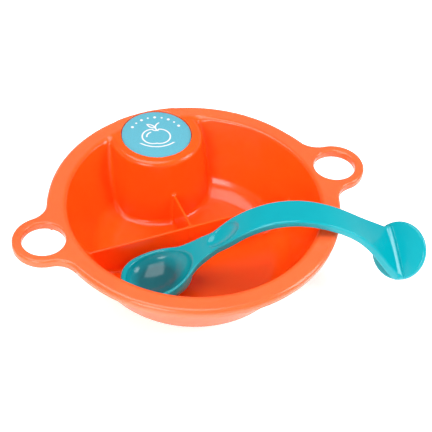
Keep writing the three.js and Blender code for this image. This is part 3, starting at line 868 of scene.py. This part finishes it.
def drawnSteel(name, tone, rough):
    f = Finish(name, Metallic=1.0, Roughness=rough)
    streak = f.span(f.noise(1800, 5, 0.7), 0.3, 0.7, 0.0, 1.0)
    f.feed("Base Color", f.blend(streak, opaque(tone, tone, tone * 1.02),
                                 opaque(tone * 1.15, tone * 1.15, tone * 1.14)))
    f.feed("Roughness", f.span(streak, 0.0, 1.0, rough - 0.06, rough + 0.1))
    f.bump(streak, 0.1, 0.00005)
    return f.material


def dress(piece, material):
    piece.data.materials.clear()
    piece.data.materials.append(material)


whitePlastic = mouldedPlastic("whitePlastic", (0.8, 0.8, 0.77), (0.86, 0.86, 0.84), 0.35)
dress(shell, orangePlastic())
dress(spoonPiece, spoonPlastic())
dress(label, labelPrint())
dress(button, mouldedPlastic("buttonPlastic", (0.12, 0.42, 0.53), (0.14, 0.46, 0.57), 0.4))
dress(rod, whitePlastic)
dress(carrier, whitePlastic)
dress(plug, softRubber("sealRubber", (0.5, 0.55, 0.56), (0.6, 0.64, 0.65), 0.0))
dress(pad, softRubber("padRubber", (0.55, 0.6, 0.61), (0.63, 0.67, 0.68), 0.0))
dress(cup, softRubber("cupRubber", (0.6, 0.66, 0.68), (0.7, 0.75, 0.76), 0.35))
springSteel = drawnSteel("springSteel", 0.6, 0.22)
screwSteel = drawnSteel("screwSteel", 0.52, 0.3)
print("finishes")


def grownSpring():
    g = Grower("coiledWire", spring, springSteel)
    coil = g.node("GeometryNodeCurveSpiral", Resolution=40, Rotations=g.size("turns"),
                  Start_Radius=g.size("coil"), End_Radius=g.size("coil"),
                  Height=g.size("height"))
    profile = g.node("GeometryNodeCurvePrimitiveCircle", {"mode": "RADIUS"}, Resolution=14,
                    Radius=g.size("wire"))
    wire = g.node("GeometryNodeCurveToMesh", Curve=coil, Profile_Curve=profile, Fill_Caps=True)
    wire = g.node("GeometryNodeSetShadeSmooth", Geometry=wire)
    x, y = release["axis"]
    placed = g.node("GeometryNodeTransform", Geometry=wire,
                    Translation=g.vector(x * mm, y * mm, g.size("foot")))
    thing = seed("returnSpring", [(0, 0, 0)])
    g.finish(thing, placed)
    return thing


def grownScrew(number, x, y):
    g = Grower("crossScrew" + str(number), screw, screwSteel)
    head = g.node("GeometryNodeMeshCylinder", Vertices=40, Side_Segments=1,
                  Radius=g.size("head"), Depth=g.size("headThick"))
    middle = g.size("foot") + g.size("headThick") * 0.5
    head = g.node("GeometryNodeTransform", Geometry=head, Translation=g.vector(z=middle))
    bladeSize = g.vector(g.size("slot"), g.size("head") * 1.3, g.size("headThick"))
    blade = g.node("GeometryNodeMeshCube", Size=bladeSize)
    blade = g.node("GeometryNodeTransform", Geometry=blade, Translation=g.vector(z=g.size("foot")))
    other = g.node("GeometryNodeTransform", Geometry=blade,
                   Rotation=(0.0, 0.0, math.radians(90)))
    cut = g.tree.nodes.new("GeometryNodeMeshBoolean")
    cut.operation = "DIFFERENCE"
    g.tree.links.new(head.socket, cut.inputs[0])
    g.tree.links.new(blade.socket, cut.inputs[1])
    g.tree.links.new(other.socket, cut.inputs[1])
    length = g.size("top") - g.size("foot") - g.size("headThick")
    shaft = g.node("GeometryNodeMeshCone", Vertices=28, Side_Segments=1,
                   Radius_Top=g.size("shaft") * 0.7, Radius_Bottom=g.size("shaft"), Depth=length)
    shaft = g.node("GeometryNodeTransform", Geometry=shaft,
                   Translation=g.vector(z=g.size("foot") + g.size("headThick")))
    turns = (length * 0.9) / g.size("pitch")
    helix = g.node("GeometryNodeCurveSpiral", Resolution=24, Rotations=turns,
                   Start_Radius=g.size("shaft") - g.size("thread") * 0.3,
                   End_Radius=g.size("shaft") * 0.7, Height=length * 0.9)
    ridge = g.node("GeometryNodeCurvePrimitiveCircle", {"mode": "RADIUS"}, Resolution=6,
                   Radius=g.size("thread"))
    thread = g.node("GeometryNodeCurveToMesh", Curve=helix, Profile_Curve=ridge, Fill_Caps=True)
    thread = g.node("GeometryNodeTransform", Geometry=thread,
                    Translation=g.vector(z=g.size("foot") + g.size("headThick") + length * 0.05))
    joined = g.tree.nodes.new("GeometryNodeJoinGeometry")
    for part in (Signal(g.tree, cut.outputs[0]), shaft, thread):
        g.tree.links.new(part.socket, joined.inputs[0])
    points = g.tree.nodes.new("GeometryNodeInstanceOnPoints")
    g.tree.links.new(g.given.outputs[0], points.inputs["Points"])
    g.tree.links.new(joined.outputs[0], points.inputs["Instance"])
    thing = seed("carrierScrew" + str(number), [(x, y, 0)])
    g.finish(thing, Signal(g.tree, points.outputs[0]))
    return thing


springPiece = grownSpring()
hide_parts("return_spring")
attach(springPiece, "bowl")
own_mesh(springPiece)
for number, (x, y) in enumerate(bowl["screws"], 1):
    one = grownScrew(number, x, y)
    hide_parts("carrier_screw_" + str(number))
    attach(one, "bowl")
print("spring and screws")


# floor, light and camera
studio = {
    "floor": 6.0, "floorTone": (0.93, 0.93, 0.925, 1.0), "skyLow": 0.6, "skyHigh": 0.25,
    "focal": 103.54, "aim": (0.00654, -0.01562, 0.047),
    "azimuth": -25.3, "elevation": 44.8, "roll": 3.86, "away": 0.68691,
    "lamps": {  # place, aim, width, height, watts
        "overhead": ((-0.25, 0.1, 1.3), (0, 0, 0), 1.1, 1.1, 13),
        "frontLeft": ((-0.9, -0.8, 0.7), (0, 0, 0.02), 0.6, 0.6, 8),
        "right": ((1.0, -0.5, 0.8), (0, 0, 0.02), 0.5, 0.7, 8),
    },
}


def standFloor():
    half = studio["floor"] / 2
    mesh = bpy.data.meshes.new("floor")
    mesh.from_pydata([(-half, -half, 0), (half, -half, 0), (half, half, 0), (-half, half, 0)], [],
                     [(0, 1, 2, 3)])
    thing = bpy.data.objects.new("floor", mesh)
    scene.collection.objects.link(thing)
    f = Finish("paleFloor", Roughness=0.9, Base_Color=studio["floorTone"],
               Emission_Color=(1.0, 1.0, 1.0, 1.0), Emission_Strength=0.6,
               Specular_IOR_Level=0.0)
    mesh.materials.append(f.material)


def hangLamp(name, place, aim, width, height, watts):
    light = bpy.data.lights.new(name, "AREA")
    light.shape, light.size, light.size_y, light.energy = "RECTANGLE", width, height, watts
    lamp = bpy.data.objects.new(name, light)
    lamp.location = place
    lamp.rotation_euler = (Vector(aim) - Vector(place)).to_track_quat("-Z", "Y").to_euler()
    lamp.visible_camera = False
    scene.collection.objects.link(lamp)


def setCamera():
    az, el, roll = (math.radians(studio[k]) for k in ("azimuth", "elevation", "roll"))
    back = Vector((math.sin(az) * math.cos(el), -math.cos(az) * math.cos(el), math.sin(el)))
    right = (-back).cross(Vector((0, 0, 1))).normalized()
    up = right.cross(-back)
    across = right * math.cos(roll) + up * math.sin(roll)
    top = up * math.cos(roll) - right * math.sin(roll)
    data = bpy.data.cameras.new("studioCamera")
    data.lens, data.sensor_width, data.clip_start = studio["focal"], 36.0, 0.01
    camera = bpy.data.objects.new("studioCamera", data)
    turn = Matrix((across, top, back)).transposed().to_4x4()
    camera.matrix_world = Matrix.Translation(Vector(studio["aim"]) + back * studio["away"]) @ turn
    scene.collection.objects.link(camera)
    scene.camera = camera


standFloor()
for lampName, lampFacts in studio["lamps"].items():
    hangLamp(lampName, *lampFacts)
world = bpy.data.worlds.new("studioSky")
world.use_nodes = True
sky = world.node_tree  # bright at the horizon, dim overhead
height = madeNode(sky, "ShaderNodeSeparateXYZ", output=2,
                  Vector=madeNode(sky, "ShaderNodeTexCoord", output=0))
glow = madeNode(sky, "ShaderNodeMapRange", i0=height, i1=0.12, i2=0.5, i3=studio["skyLow"],
                i4=studio["skyHigh"])
sky.links.new(glow.socket, sky.nodes["Background"].inputs[1])
sky.nodes["Background"].inputs[0].default_value = (1.0, 1.0, 1.0, 1.0)
scene.world = world
scene.view_settings.view_transform = "Standard"
setCamera()
print("floor, light and camera")
